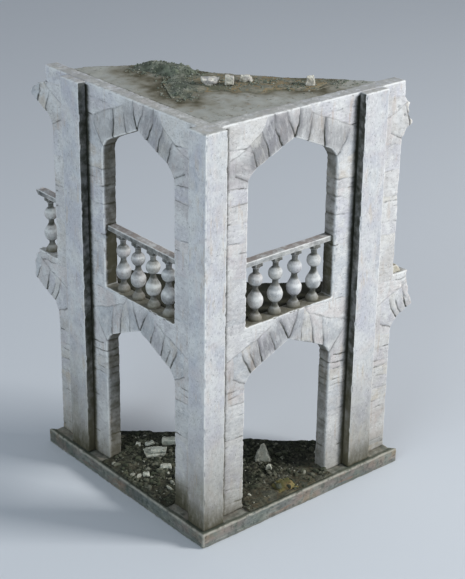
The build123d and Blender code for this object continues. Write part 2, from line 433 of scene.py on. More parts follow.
def grain_along(points, turn, shift):
    """Coordinates whose second number runs along the tool marks."""
    s, o, z = points.T
    across = s * np.cos(turn) - z * np.sin(turn)
    along = s * np.sin(turn) + z * np.cos(turn)
    return np.column_stack([across + 40 * shift, along + 90 * shift, o])


# ---- wear ----
def undulation(points, seed, amount=0.11):
    return amount * noise(points, 8, seed) + 0.5 * amount * noise(points, 2.6, seed + 1)


def pits(points, size, seed, depth, share=0.62):
    """Small holes left by air bubbles in the plaster."""
    return -depth * smoothstep(noise(points, size, seed), share, share + 0.22)


def chips(points, edge, seed, depth=0.7):
    """Bites out of the arrises."""
    bite = smoothstep(rough(points, 3.2, seed, 2), 0.15, 0.9)
    return -depth * bite * smoothstep(edge, 0.35, 1.0) - 0.1 * smoothstep(edge, 0.5, 1.0)


def grime_from_foot(points, seed, deep=0.95, wide=0.5):
    """Splashed earth: deep at the very foot, and a wide faint veil above it with an uneven limit."""
    height = points[:, 2] - BASE_TOP + 6 * noise(points, (6, 6, 16), seed)
    low = deep * (1 - smoothstep(height, -8, 44)) ** 1.5
    return np.maximum(low, wide * (1 - smoothstep(height, -5, 100)) ** 1.8)


def wall_frame(points, side):
    """(x, y, z) to (s, o, z); the left wall runs along Y."""
    return points if side == "right" else points[:, [1, 0, 2]]


HOLES = {       # air holes near the broken ends: s, z, radius
    "right": [(117.5, 187.5, 0.9), (122.0, 183.0, 0.7), (127.5, 96.0, 0.9), (130.5, 88.5, 0.7)],
    "left": [(131.2, 185.9, 1.2), (127.6, 184.7, 1.0), (134.8, 186.6, 1.1), (136.0, 94.0, 0.9)],
}


def below_top(points):
    """1 on the uprights and 0 on the uppermost rim, where no wash gathers."""
    return 1 - smoothstep(points[:, 2], WALL_TOP - 1.6, WALL_TOP - 0.7)


def broken_end(points, normals):
    """1 on the fractured faces at a wall's outer end."""
    facing = smoothstep(normals[:, 0], 0.15, 0.5) * (normals[:, 2] > -0.4)
    return facing * (points[:, 0] > NEXT_BAY + 0.8)


FINE_VOXEL, COARSE_VOXEL, CHUNK_VOXEL = 0.46, 0.62, 0.22
TUCK = -0.9                 # the walls' inner ends reach this far into the pier
# by wall: how dark the arch stones are above and below the sill, the painted shade in the reveals and the
# grime at the foot
ARCH_DARKNESS = {"right": (1.6, 1.1), "left": (1.0, 0.65)}
REVEAL_SHADE = {"right": 0.41, "left": 0.52}
FOOT_GRIME = {"right": 0.85, "left": 1.15}


def wear_wall(skin, side, seed):
    """Scores the masonry into a wall, chips its arrises and breaks its outer end."""
    node = side + "_wall"
    points, normals = wall_frame(skin.points, side), wall_frame(skin.normals, side)
    s, o, z = points.T
    joint, stone, turn, _ = masonry(points)
    edge = closeness_to_arrises(skin.points, node, 1.5)
    edge *= 1 - closeness_to_nodes(skin.points, ["corner_pier", side + "_outer_pilaster"], 1.5)
    inner = smoothstep(o, WALL_FRONT + 0.75 * (WALL_BACK - WALL_FRONT), WALL_BACK)
    top = level_share(normals)
    score = joint * (1 - 0.45 * inner) * (1 - 0.8 * top)
    wear = -GROOVE_DEPTH * score + 0.2 * (stone - 0.5) * (1 - top)
    wear += undulation(points, seed) + chips(points, edge, seed + 3)
    marks = grain_along(points, turn, stone)
    wear += 0.08 * noise(marks, (0.9, 2.6, 1.6), seed + 5) + pits(points, 1.3, seed + 6, 0.2, 0.55)
    wear += broken_end(points, normals) * (0.8 * rough(points, 2.6, seed + 8, 3) - 0.3)
    for hole_s, hole_z, radius in HOLES[side]:
        away = np.hypot(s - hole_s, z - hole_z)
        wear -= 1.1 * np.exp(-(away / radius) ** 2) * (1 - inner)
    skin.push(wear)
    # the stub's outline is bitten in and out as it broke, alike through the wall's thickness
    along = X if side == "right" else Y
    moved = skin.points
    levels = np.column_stack([0 * o, 0.3 * o, moved[:, Z]])
    bite = 0.8 * noise(levels, 3.2, seed + 11) + 0.5 * noise(levels, 1.4, seed + 12) - 0.3
    moved[:, along] += bite * smoothstep(moved[:, along], NEXT_BAY + 1, NEXT_BAY + 5)
    skin.points = moved
    skin.thin()


def make_wall(side, material):
    node, pilaster = side + "_wall", side + "_outer_pilaster"
    seed, along = (200, X) if side == "right" else (300, Y)
    skin = Skin.around(node, FINE_VOXEL, (along, PIER_SIDE, TUCK))
    wear_wall(skin, side, seed)

    points, normals = wall_frame(skin.points, side), wall_frame(skin.normals, side)
    s, o, z = points.T
    joint, stone, turn, shade = masonry(points)
    edge = closeness_to_arrises(skin.points, node, 1.2)
    edge *= 1 - closeness_to_nodes(skin.points, [pilaster, "corner_pier"], 1.5)
    reveal = smoothstep(np.abs(normals[:, X]) + np.maximum(-normals[:, Z], 0), 0.5, 0.9)
    top = level_share(normals)
    # painted shadow and dark wash beside the pilaster and the pier, reaching a few mm onto the wall's face
    by_pilaster = closeness_to_nodes(skin.points, [pilaster], 5.0) ** 1.5
    by_pier = smoothstep(closeness_to_nodes(skin.points, ["corner_pier"], 6.2), 0.1, 0.5)
    by_slab = closeness_to_nodes(skin.points, ["roof_slab", "base_plate"], 1.6)
    outside = 1 - smoothstep(o, WALL_FRONT + 0.4, WALL_FRONT + 1.5)
    beside = np.maximum(0.95 * by_pilaster, 0.62 * by_pier) * outside * below_top(points)
    on_sill = top * ((s > BAY_START - 1) & (s < BAY_END + 1)) * (z < SILL + 3)
    # the reveals are painted in shade, darker still behind the balusters, with the level joints showing
    # through
    shadowed = reveal * smoothstep(o, WALL_FRONT + 0.3, WALL_FRONT + 1.6)
    depth = REVEAL_SHADE[side] + (0.3 * joint + 0.12 * noise(points, (6, 6, 3.2), seed + 14))
    depth += 0.25 * ((z > SILL) & (z < RAIL_TOP) & (s > BAY_MIDDLE))
    crevice = np.maximum(0.5 * by_slab, beside)
    wash = np.maximum.reduce([0.8 * joint * (1 - top), crevice, depth * shadowed, 0.36 * on_sill])
    grime = grime_from_foot(points, seed + 9, FOOT_GRIME[side])
    grime *= 1 - 0.35 * smoothstep(s, BAY_END - 4, BAY_END)
    # the grime on the reveals is painted shade in the grime colour
    grime = np.maximum.reduce([grime, 0.62 * on_sill, 0.3 * shadowed * (1 - top)])
    skin.paint(wash=wash, edge=edge, stone=stone, top=np.maximum(top * 0.65, on_sill),
               shade=shade * (1 - top) * np.where(z > SILL, *ARCH_DARKNESS[side]),
               grime=grime, fresh=broken_end(points, normals), grain=grain_along(points, turn, stone))
    skin.finish(node + "_masonry", "wall_plaster", material, node)


def make_shaft(node, name, neighbours, material, seed):
    """The pier or a pilaster: a plain upright with fine marks. The side of a pilaster that faces the pier is
    worn less and washed dark, which also paints the shade that lies on it."""
    skin = Skin.around(node, FINE_VOXEL)
    points, normals = skin.points, skin.normals
    along = Y if node.startswith("left") else X
    has_side = node != "corner_pier"
    facing = has_side * smoothstep(-normals[:, along], 0.5, 0.9)
    walls = [neighbour for neighbour in neighbours if neighbour.endswith("wall")]
    edge = closeness_to_arrises(points, node, 1.5) * (1 - closeness_to_nodes(points, walls, 1.5))
    wear = undulation(points, seed, 0.09) + chips(points, edge, seed + 3, 0.4)
    wear += 0.06 * noise(points, (0.9, 0.9, 3), seed + 5) + pits(points, 1.1, seed + 6, 0.18, 0.58)
    skin.push(wear * (1 - 0.7 * facing))
    skin.thin()

    points, normals = skin.points, skin.normals
    # the corners by the neighbours are washed dark with painted shade, and a pilaster's side towards the pier
    # is painted near black: dark wash and painted shade
    crevice = closeness_to_nodes(points, neighbours, 2.4)
    on_top = 1 - below_top(points)
    edge = closeness_to_arrises(points, node, 1.1)
    edge *= 1 - on_top * closeness_to_nodes(points, walls + ["roof_slab"], 2)
    facing = has_side * smoothstep(-normals[:, along], 0.5, 0.9)
    # faces looking left get a wider dark veil at the foot: grime and painted shade on the side away from the
    # key light
    leftward = smoothstep(-normals[:, X], 0.5, 0.9)
    mottled = 0.66 + 0.14 * noise(points, (3, 3, 9), seed + 8)
    wash = np.maximum(0.9 * crevice ** 1.3 * (1 - on_top), mottled * facing)
    skin.paint(wash=wash, edge=edge * (1 - 0.8 * facing), top=0.65 * level_share(normals),
               stone=0.5 + 0.5 * noise(points, (9, 9, 16), seed + 7),
               grime=grime_from_foot(points, seed + 9, 1.1, 0.62 + 0.1 * leftward),
               grain=points[:, [0, 2, 1]])
    skin.finish(name, "pier_plaster", material, node)


def make_slab(node, name, material, seed, dusty=None):
    """A floor slab with a snapped back edge. dusty gives the share of brown dust at each place."""
    skin = Skin.around(node, COARSE_VOXEL)
    points = skin.points
    edge = closeness_to_arrises(points, node, 1.5)
    wear = undulation(points, seed, 0.2) + back_share(skin.normals) * (0.9 * rough(points, 4, seed + 2) - 0.3)
    wear += chips(points, edge, seed + 3) * smoothstep(points[:, 0] + points[:, 1], 40, 60)
    skin.push(wear)
    skin.thin()

    points, back = skin.points, back_share(skin.normals)
    crevice = closeness_to_nodes(points, ["right_wall", "left_wall"], 1.6)
    dust = dusty(points[:, :2]) if dusty else 0.4 + 0.3 * noise(points, 14, seed + 5)
    skin.paint(wash=0.62 * crevice, edge=closeness_to_arrises(points, node, 1.0) * back, stone=0.5,
               top=level_share(skin.normals), grime=dust, fresh=0.5 * back, grain=points)
    skin.finish(name, "floor_plaster", material, node)


def along_base(points):
    """Distance along the base's sides and out from the walls' line, and both with the height first."""
    along, out = np.maximum(points[:, 0], points[:, 1]), np.minimum(points[:, 0], points[:, 1])
    return along, out, np.column_stack([points[:, 2], along, out])


def make_base(material):
    """The base board, with brush strokes along its sides and a plaster ledge under the walls."""
    skin = Skin.around("base_plate", COARSE_VOXEL)
    points, normals = skin.points, skin.normals
    edge = closeness_to_arrises(points, "base_plate", 1.5)
    _, _, long_way = along_base(points)
    wear = undulation(points, 500, 0.12) + chips(points, edge, 503, 0.5)
    wear += 0.08 * noise(long_way, (1.1, 12, 4), 505) + back_share(normals) * 0.5 * rough(points, 4, 507)
    wear += 0.22 * level_share(normals) * rough(points, 2.2, 509, 2)
    skin.push(wear)
    moved = skin.points
    moved[:, Z] = np.maximum(moved[:, Z], 0)
    skin.points = moved
    skin.thin()

    points, normals = skin.points, skin.normals
    top = level_share(normals)
    crevice = closeness_to_nodes(points, ["corner_pier", "right_outer_pilaster", "left_outer_pilaster"], 1.6)
    low = 1 - smoothstep(points[:, Z], 0, 3)
    along, out, long_way = along_base(points)
    by_wall = 1 - smoothstep(along, BAY_START, BAY_START + 3) + smoothstep(along, BAY_END - 3, BAY_END)
    ledge = by_wall * top * (1 - smoothstep(out, WALL_FRONT, WALL_FRONT + 1)) * smoothstep(out, -0.6, 0.2)
    seam = np.exp(-((out - 0.1) / 0.5) ** 2) * top
    # the base's side looking left is painted darker: painted shade
    shaded_left_side = smoothstep(-normals[:, X], 0.4, 0.9)
    moss = (0.25 + 0.3 * noise(points, 2.2, 513)) * ledge
    wash = np.maximum.reduce([0.7 * crevice, 0.45 * low, 0.6 * seam, 0.36 * shaded_left_side, moss])
    skin.paint(wash=wash, edge=closeness_to_arrises(points, "base_plate", 2.0),
               stone=0.5 + 0.5 * noise(long_way, (6, 16, 9), 511), top=top * (1 - ledge),
               grime=(0.3 + 0.5 * top) * (1 - 0.45 * ledge), fresh=0.55 * ledge, grain=long_way)
    skin.finish("base_board", "base_plaster", material, "base_plate")


# ---- balustrades ----
FOOT_RADIUS = 3.1
NECK_RADIUS = 1.35
PEAR_RADIUS = 3.6
BALL_RADIUS = 3.35
PEAR_HEIGHT = 9.4           # above the sill, at its widest
BALL_HEIGHT = 19.9
ABACUS_SIDE = 4.5
ABACUS_HEIGHT = 1.6


def baluster_radius(height, total):
    """Radius of the turned shaft at a height above the sill."""
    foot = FOOT_RADIUS - (FOOT_RADIUS - NECK_RADIUS) * smoothstep(height, 0.7, 4.6)
    pear = PEAR_RADIUS * np.sqrt(np.clip(1 - ((height - PEAR_HEIGHT) / 4.1) ** 2, 0, 1))
    shoulder = NECK_RADIUS + 2.3 * (1 - smoothstep(height, PEAR_HEIGHT + 0.5, PEAR_HEIGHT + 6.4))
    shoulder = np.where(height > PEAR_HEIGHT, shoulder, 0)
    ball = BALL_RADIUS * np.sqrt(np.clip(1 - ((height - BALL_HEIGHT) / 3.45) ** 2, 0, 1))
    collar = 2.0 * np.sqrt(np.clip(1 - ((height - total + ABACUS_HEIGHT + 0.5) / 0.6) ** 2, 0, 1))
    return np.maximum.reduce([foot, pear, shoulder, ball, collar, np.full_like(height, NECK_RADIUS)])


def lathe(radii, heights, corners):
    """Points and faces of a turned shaft, closed at both ends."""
    around = np.linspace(0, 2 * math.pi, corners, endpoint=False)
    rings = [np.column_stack([r * np.cos(around), r * np.sin(around), np.full(corners, h)])
             for r, h in zip(radii, heights)]
    low, after = np.arange(corners), (np.arange(corners) + 1) % corners
    quads = np.column_stack([low, after, after + corners, low + corners])
    last = (len(radii) - 1) * corners
    faces = np.concatenate([quads + first for first in range(0, last, corners)]).tolist()
    return np.concatenate(rings), faces + [low[::-1].tolist(), (low + last).tolist()]


def soft_box(low, high, rounding, cells):
    """Points and faces of a box with rounded edges and cells about that many mm across."""
    shape = bmesh.new()
    bmesh.ops.create_cube(shape, size=1)
    size, middle = np.subtract(high, low), np.add(high, low) / 2
    for vert in shape.verts:
        vert.co = Vector(np.array(vert.co) * size + middle)
    bmesh.ops.bevel(shape, geom=shape.edges[:], offset=rounding, segments=2, affect="EDGES", profile=0.6)
    for axis in (X, Y, Z):
        steps = int(size[axis] / cells)
        for step in range(1, steps):
            place = Vector(middle)
            place[axis] = low[axis] + size[axis] * step / steps
            facing = Vector((0, 0, 0))
            facing[axis] = 1
            parts = shape.verts[:] + shape.edges[:] + shape.faces[:]
            bmesh.ops.bisect_plane(shape, geom=parts, plane_co=place, plane_no=facing)
    shape.verts.ensure_lookup_table()
    points = np.array([vert.co for vert in shape.verts])
    faces = [tuple(vert.index for vert in face.verts) for face in shape.faces]
    shape.free()
    return points, faces


def box_of(node):
    """The low and the high corner of a node's box, in mm."""
    return [(np.array(place) - CORNER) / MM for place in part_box(node)]


def make_baluster(node, material, seed):
    """A turned baluster: a foot, a pear, a ball and a square abacus, each a little off true."""
    low, high = box_of(node)
    middle = (low + high) / 2
    total = high[2] - low[2]
    heights = np.concatenate([[0, 0.05], np.linspace(0.3, total - ABACUS_HEIGHT + 0.2, 84)])
    radii = baluster_radius(heights, total)
    radii[0] -= 0.25
    points, faces = lathe(radii, heights, 44)
    half, under_abacus = ABACUS_SIDE / 2, total - ABACUS_HEIGHT
    block, block_faces = soft_box((-half, -half, under_abacus), (half, half, total - 0.02), 0.25, 0.8)
    faces += [[corner + len(points) for corner in face] for face in block_faces]
    points = np.concatenate([points, block])
    draw = np.random.default_rng(seed)
    lean = draw.normal(0, 0.12, 2) / total
    points[:, :2] += np.outer(points[:, 2] * (total - points[:, 2]) / total * 4, lean)
    points = points + [middle[0], middle[1], low[2]]
    skin = Skin(mesh_from(points, faces))
    wear = 0.1 * noise(points, 2.8, seed) + 0.05 * noise(points, 1.0, seed + 1)
    skin.push(wear + pits(points, 1.1, seed + 2, 0.2))

    points, upward = skin.points, skin.normals[:, Z]
    height = points[:, 2] - low[2]
    radius = np.hypot(points[:, 0] - middle[0], points[:, 1] - middle[1])
    # necks, foot, the top under the rail and undersides are painted dark, a wash with painted shade; the left
    # balusters are painted darker all over, painted shade
    neck = 1 - smoothstep(radius, NECK_RADIUS + 0.1, NECK_RADIUS + 1.1)
    foot = 1 - smoothstep(height, 0.5, 5.5)
    under_rail = smoothstep(height, total - 3.4, total - 1.2)
    under = smoothstep(-upward, 0.1, 0.8)
    dull_and_shade = (0.42 if node.startswith("left_bal") else 0.24) + 0.1 * noise(points, 2.4, seed + 3)
    wash = np.maximum.reduce([0.62 * neck, 0.5 * foot, 0.62 * under_rail, 0.55 * under, dull_and_shade])
    # the upper side of the pear's belly is painted light: a painted highlight, kept clear of the dark
    upper = smoothstep(upward, -0.3, 0.5) * smoothstep(radius, PEAR_RADIUS - 1.4, PEAR_RADIUS - 0.4)
    skin.paint(wash=wash * (1 - 0.4 * upper), edge=0.6 * upper, grime=0.75 * foot, stone=draw.random(),
               grain=points[:, [0, 2, 1]])
    skin.finish(node + "_turned", "balustrade_plaster", material, node)


def make_rail(node, material, seed, snapped=False):
    """A handrail. A snapped one ends in a rough break that slants back under its top."""
    low, high = box_of(node)
    points, faces = soft_box(low, high, 0.35, 0.55)
    skin = Skin(mesh_from(points, faces))
    along = Y if node.startswith("left") else X
    wear = 0.12 * noise(points, 4, seed) + 0.08 * noise(points, 1.3, seed + 1)
    end = smoothstep(points[:, along], high[along] - 2.2, high[along] - 0.4) if snapped else 0
    skin.push(wear + end * (0.5 * rough(points, 1.6, seed + 3) - 0.2))
    if snapped:
        moved = skin.points
        moved[:, along] -= end * ((high[2] - moved[:, 2]) / (high[2] - low[2]) * 1.6)
        skin.points = moved

    points, normals = skin.points, skin.normals
    depth = points[:, 1 - along] - low[1 - along]
    top = smoothstep(normals[:, 2], 0.5, 0.9)
    under = smoothstep(-normals[:, 2], 0.5, 0.9)
    reach = np.minimum(points[:, along] - low[along], high[along] - points[:, along])
    ends = 0 if snapped else 1 - smoothstep(reach, 0, 2.2)
    # the rail's undersides and sides are painted darker, more on the left rail: painted shade
    front = (0.5 if node.startswith("left") else 0.34) + 0.14 * noise(points, 5, seed + 6)
    skin.paint(wash=np.maximum(np.maximum(0.6 * ends, 0.7 * under), front * (1 - top)),
               edge=closeness_to_arrises(points, node, 0.9), stone=0.5 + 0.4 * noise(points, 9, seed + 5),
               top=top * smoothstep(depth, 0.1, 0.8), fresh=end,
               grain=np.column_stack([points[:, 2], points[:, along], points[:, 1 - along]]))
    skin.finish(node + "_cast", "balustrade_plaster", material, node)


# ---- rubble, gravel and earth ----
def cut_corners(points, draw, cuts, depth):
    """Flattens the corners of a lump with random planes, which leaves broken facets."""
    middle = points.mean(0)
    here = points - middle
    for _ in range(cuts):
        facing = draw.normal(size=3)
        facing[2] = abs(facing[2]) * 0.8
        facing /= np.linalg.norm(facing)
        ahead = here @ facing
        limit = ahead.max() * (1 - depth * draw.uniform(0.4, 1.0))
        here -= np.outer(np.maximum(ahead - limit, 0), facing)
    return here + middle


def make_chunk(node, material, seed, cuts, depth, undercut=0.12):
    """A broken lump: the CAD block with its corners knocked off, its faces rough and its rims worn.
    It narrows towards its foot by the share undercut, unevenly."""
    draw = np.random.default_rng(seed)
    skin = Skin.around(node, CHUNK_VOXEL)
    points = skin.points
    edge = closeness_to_arrises(points, node, 1.0)
    points = cut_corners(points, draw, cuts, depth)
    low, middle = points[:, 2].min(), points.mean(0)
    rise = (points[:, 2] - low) / np.ptp(points[:, 2])
    inward = undercut * (1 - rise) * (1 + 0.6 * noise(points, 2.5, seed + 6))
    points[:, :2] += (middle - points)[:, :2] * inward[:, None]
    skin.points = points
    wear = 0.24 * rough(points, 2.2, seed) + 0.09 * noise(points, 0.6, seed + 1)
    skin.push(wear - 0.5 * edge * smoothstep(noise(points, 1.6, seed + 2), -0.2, 0.6))

    points = skin.points
    # the chunk's foot is painted dark, a painted contact shadow with grime; upward faces are painted light in
    # patches, wear and painted highlight
    foot = 1 - smoothstep(points[:, 2] - points[:, 2].min(), 0.1, 1.1)
    worn = smoothstep(noise(points, 1.4, seed + 4), 0.0, 0.8) * smoothstep(skin.normals[:, 2], -0.2, 0.6)
    skin.paint(wash=0.9 * foot, edge=np.maximum(0.9 * edge, worn), stone=draw.random(), grime=0.5 * foot,
               fresh=0.2, grain=points)
    skin.finish(node + "_broken", "rubble", material, node)


FACETS = 9                  # flats on each grain
SQUASH = (1, 1, 0.75)


def grain_cloud(places, sizes, draw):
    """Many small angular stones as one mesh, with a random number for each stone."""
    shape = bmesh.new()
    bmesh.ops.create_icosphere(shape, subdivisions=1, radius=1)
    bmesh.ops.subdivide_edges(shape, edges=shape.edges[:], cuts=1, use_grid_fill=True)
    shape.verts.ensure_lookup_table()
    unit = np.array([vert.co.normalized() for vert in shape.verts])
    corners = np.array([[vert.index for vert in face.verts] for face in shape.faces])
    shape.free()
    facings = draw.normal(size=(len(places), FACETS, 3))
    facings /= np.linalg.norm(facings, axis=2, keepdims=True)
    limits = draw.uniform(0.5, 1.0, size=(len(places), FACETS))
    ahead = np.einsum("vk,gfk->gvf", unit, facings)
    reach = np.where(ahead > 0.15, limits[:, None, :] / np.maximum(ahead, 0.15), 1.25).min(axis=2)
    stretch = draw.uniform(0.5, 1.3, size=(len(places), 1, 3)) * SQUASH
    lumps = unit[None] * np.minimum(reach, 1.25)[:, :, None] * stretch * np.asarray(sizes)[:, None, None]
    lumps += np.asarray(places)[:, None, :]
    faces = corners[None] + (np.arange(len(places)) * len(unit))[:, None, None]
    tint = np.repeat(draw.random(len(places)), len(unit))
    return lumps.reshape(-1, 3), faces.reshape(-1, corners.shape[1]).tolist(), tint


def inside(points, outline):
    """True for the points within a closed outline of (x, y)."""
    found = np.zeros(len(points), bool)
    for (ax, ay), (bx, by) in zip(outline, outline[1:] + outline[:1]):
        crosses = (ay > points[:, 1]) != (by > points[:, 1])
        rise = np.where(by == ay, 1e-9, by - ay)
        found ^= crosses & (points[:, 0] < (bx - ax) * (points[:, 1] - ay) / rise + ax)
    return found


def rest_on(surfaces, places):
    """Heights of the topmost of the given pieces under each (x, y)."""
    seen = bpy.context.evaluated_depsgraph_get()
    seen.update()
    heights = np.full(len(places), np.nan)
    for index, (x, y) in enumerate(places):
        start = Vector((x * MM + CORNER[0], y * MM + CORNER[1], 0.3))
        for surface in surfaces:
            hit, where, _, _ = surface.ray_cast(start, Vector((0, 0, -1)))
            if hit:
                height = (where.z - CORNER[2]) / MM
                heights[index] = height if np.isnan(heights[index]) else max(heights[index], height)
    return heights


def scatter(name, material, surfaces, outline, count, sizes, seed, lowest, dense):
    """Loose grains resting on pieces, within an outline; dense gives the share kept at each place."""
    draw = np.random.default_rng(seed)
    places = draw.uniform(np.min(outline, axis=0), np.max(outline, axis=0), size=(int(count * GRAINS), 2))
    places = places[inside(places, outline) & (draw.random(len(places)) < dense(places))]
    heights = rest_on(surfaces, places)
    found = ~np.isnan(heights) & (np.nan_to_num(heights) > lowest)
    places, heights = places[found], heights[found]
    radii = sizes[0] * (sizes[1] / sizes[0]) ** (draw.random(len(places)) ** 3)
    points, faces, tint = grain_cloud(np.column_stack([places, heights + radii * 0.25]), radii, draw)
    skin = Skin(mesh_from(points, faces))
    skin.paint(wash=0.15, stone=tint, grain=points)
    skin.finish(name, "gravel", material)


def foot_outline(node):
    """The edges round a node's underside, as pairs of (x, y)."""
    shape = welded(node)
    edges = []
    for edge in shape.edges:
        facing_down = [face.normal.z < -0.99 for face in edge.link_faces]
        if any(facing_down) and not all(facing_down):
            edges.append([((np.array(vert.co) - CORNER) / MM)[:2] for vert in edge.verts])
    shape.free()
    return edges


def make_heap(node, name, slot, material, seed, voxel, relaxed, lumps, dusty=None, sunk=0.0):
    """Soft ground or gravel: the CAD shape rounded off and roughened. dusty gives the share of
    smooth brown dust at each place, and the rim lies deeper by sunk."""
    skin = Skin.around(node, voxel)
    skin.relax(relaxed)
    points = skin.points
    up = smoothstep(skin.normals[:, Z], 0.0, 0.6)
    rim = 1 - smoothstep(to_lines(points[:, :2], foot_outline(node), 5), 0, 5) if sunk else 0
    dust = dusty(points[:, :2]) if dusty else 0
    wear = lumps * rough(points, 4.2, seed, 3) + 0.4 * lumps * noise(points, 1.1, seed + 3)
    points[:, Z] += (wear * (1 - 0.6 * dust) - sunk * rim) * up
    skin.points = points
    skin.thin()
    points = skin.points
    dust = dusty(points[:, :2]) if dusty else 0
    # low places of the rough surface are painted darker: painted shade between the lumps
    height = smoothstep(rough(points, 4.2, seed, 3), -0.6, 0.8)
    skin.paint(wash=0.7 * (1 - height) * (1 - dust), stone=0.5 + 0.5 * noise(points, 3, seed + 7), dust=dust,
               grain=points)
    return skin.finish(name, slot, material, node)


# ---- materials ----
def colour(red, green, blue):
    """A display colour from 0 to 255 as the linear one that shaders use."""
    parts = [value / 255 for value in (red, green, blue)]
    return (*[p / 12.92 if p <= 0.04045 else ((p + 0.055) / 1.055) ** 2.4 for p in parts], 1)


class Paint:
    """A node material, built up coat by coat. Colours are given from 0 to 255."""

    def __init__(self, name, first_coat=None):
        self.material = bpy.data.materials.new(name)
        self.material.use_nodes = True
        self.tree = self.material.node_tree
        place = self.make("ShaderNodeTexCoord").outputs["Object"]
        self.mm = self.vector_math("SCALE", {0: place, "Scale": 1 / MM})
        self.grain = self.attribute("grain", "Vector")
        self.base = first_coat

    def set(self, node, inputs):
        """Links sockets to a node's inputs, or sets the inputs' own values."""
        for name, value in inputs.items():
            socket = node.inputs[name]
            if isinstance(value, bpy.types.NodeSocket):
                self.tree.links.new(value, socket)
            else:
                socket.default_value = colour(*value) if socket.type == "RGBA" else value

    def make(self, kind, inputs=None, **settings):
        node = self.tree.nodes.new(kind)
        for key, value in settings.items():
            setattr(node, key, value)
        self.set(node, inputs or {})
        return node

    def attribute(self, name, output="Fac"):
        return self.make("ShaderNodeAttribute", attribute_name=name).outputs[output]

    def vector_math(self, operation, inputs):
        return self.make("ShaderNodeVectorMath", inputs, operation=operation).outputs[0]

    def math(self, operation, first, second):
        inputs = {0: first, 1: second}
        return self.make("ShaderNodeMath", inputs, operation=operation, use_clamp=True).outputs[0]

    def times(self, first, second):
        return self.math("MULTIPLY", first, second)

    def plus(self, first, second):
        return self.math("ADD", first, second)

    def noise(self, size, detail=2.0, roughness=0.55, shift=0.0, stretch=None, run=None):
        """Noise with lumps about size mm across; stretch makes them long along the tool marks and
        run makes them long downwards."""
        where = self.mm
        if run:
            where = self.vector_math("MULTIPLY", {0: where, 1: (1, 1, 1 / run)})
        if stretch:
            where = self.vector_math("MULTIPLY", {0: self.grain, 1: (1, 1 / stretch, 1)})
        where = self.vector_math("ADD", {0: where, 1: (shift, shift, shift)})
        inputs = {"Vector": where, "Scale": 1 / size, "Detail": detail, "Roughness": roughness}
        return self.make("ShaderNodeTexNoise", inputs, noise_dimensions="3D").outputs["Fac"]

    def step(self, value, low, high):
        """0 below low, 1 above high and smooth between; low may be above high."""
        inputs = {"Value": value, "From Min": min(low, high), "From Max": max(low, high),
                  "To Min": int(low > high), "To Max": int(low < high)}
        return self.make("ShaderNodeMapRange", inputs, interpolation_type="SMOOTHSTEP").outputs["Result"]

    def coat(self, over, share):
        """Lays a colour over the paint so far."""
        inputs = {"Factor": share, 6: self.base, 7: over}
        self.base = self.make("ShaderNodeMix", inputs, data_type="RGBA").outputs[2]

    def ramp(self, value, stops):
        node = self.make("ShaderNodeValToRGB", {"Fac": value})
        elements = node.color_ramp.elements
        while len(elements) < len(stops):
            elements.new(0.5)
        for element, (place, shade) in zip(elements, stops):
            element.position = place
            element.color = colour(*shade)
        return node.outputs["Color"]

    def finish(self, height, distance, strength, roughness):
        inputs = {"Height": height, "Distance": distance * MM, "Strength": strength}
        bump = self.make("ShaderNodeBump", inputs)
        self.set(self.tree.nodes["Principled BSDF"], {
            "Normal": bump.outputs["Normal"], "Base Color": self.base, "Roughness": roughness,
            "Specular IOR Level": 0.25})
        return self.material


# the dark green paints both the wash in the hollows and painted shade
WASH_AND_SHADE, GRIME, SHADE = (46, 48, 38), (114, 106, 82), (112, 111, 114)
CREAM, PINK, LAVENDER = (214, 206, 188), (206, 190, 182), (182, 182, 196)
SLATE, OCHRE, RUST = (166, 176, 186), (196, 172, 134), (176, 142, 104)
STONES = [(0.0, CREAM), (0.25, LAVENDER), (0.5, PINK), (0.75, SLATE), (1.0, OCHRE)]
BASE_STONES = [(0.0, (112, 128, 100)), (0.35, (120, 128, 132)), (0.65, (168, 142, 134)),
               (1.0, (180, 152, 108))]
DUST = [(0.3, (98, 98, 82)), (0.42, (118, 114, 94)), (0.5, (146, 128, 98)), (0.57, (120, 120, 106)),
        (0.7, (156, 146, 128))]


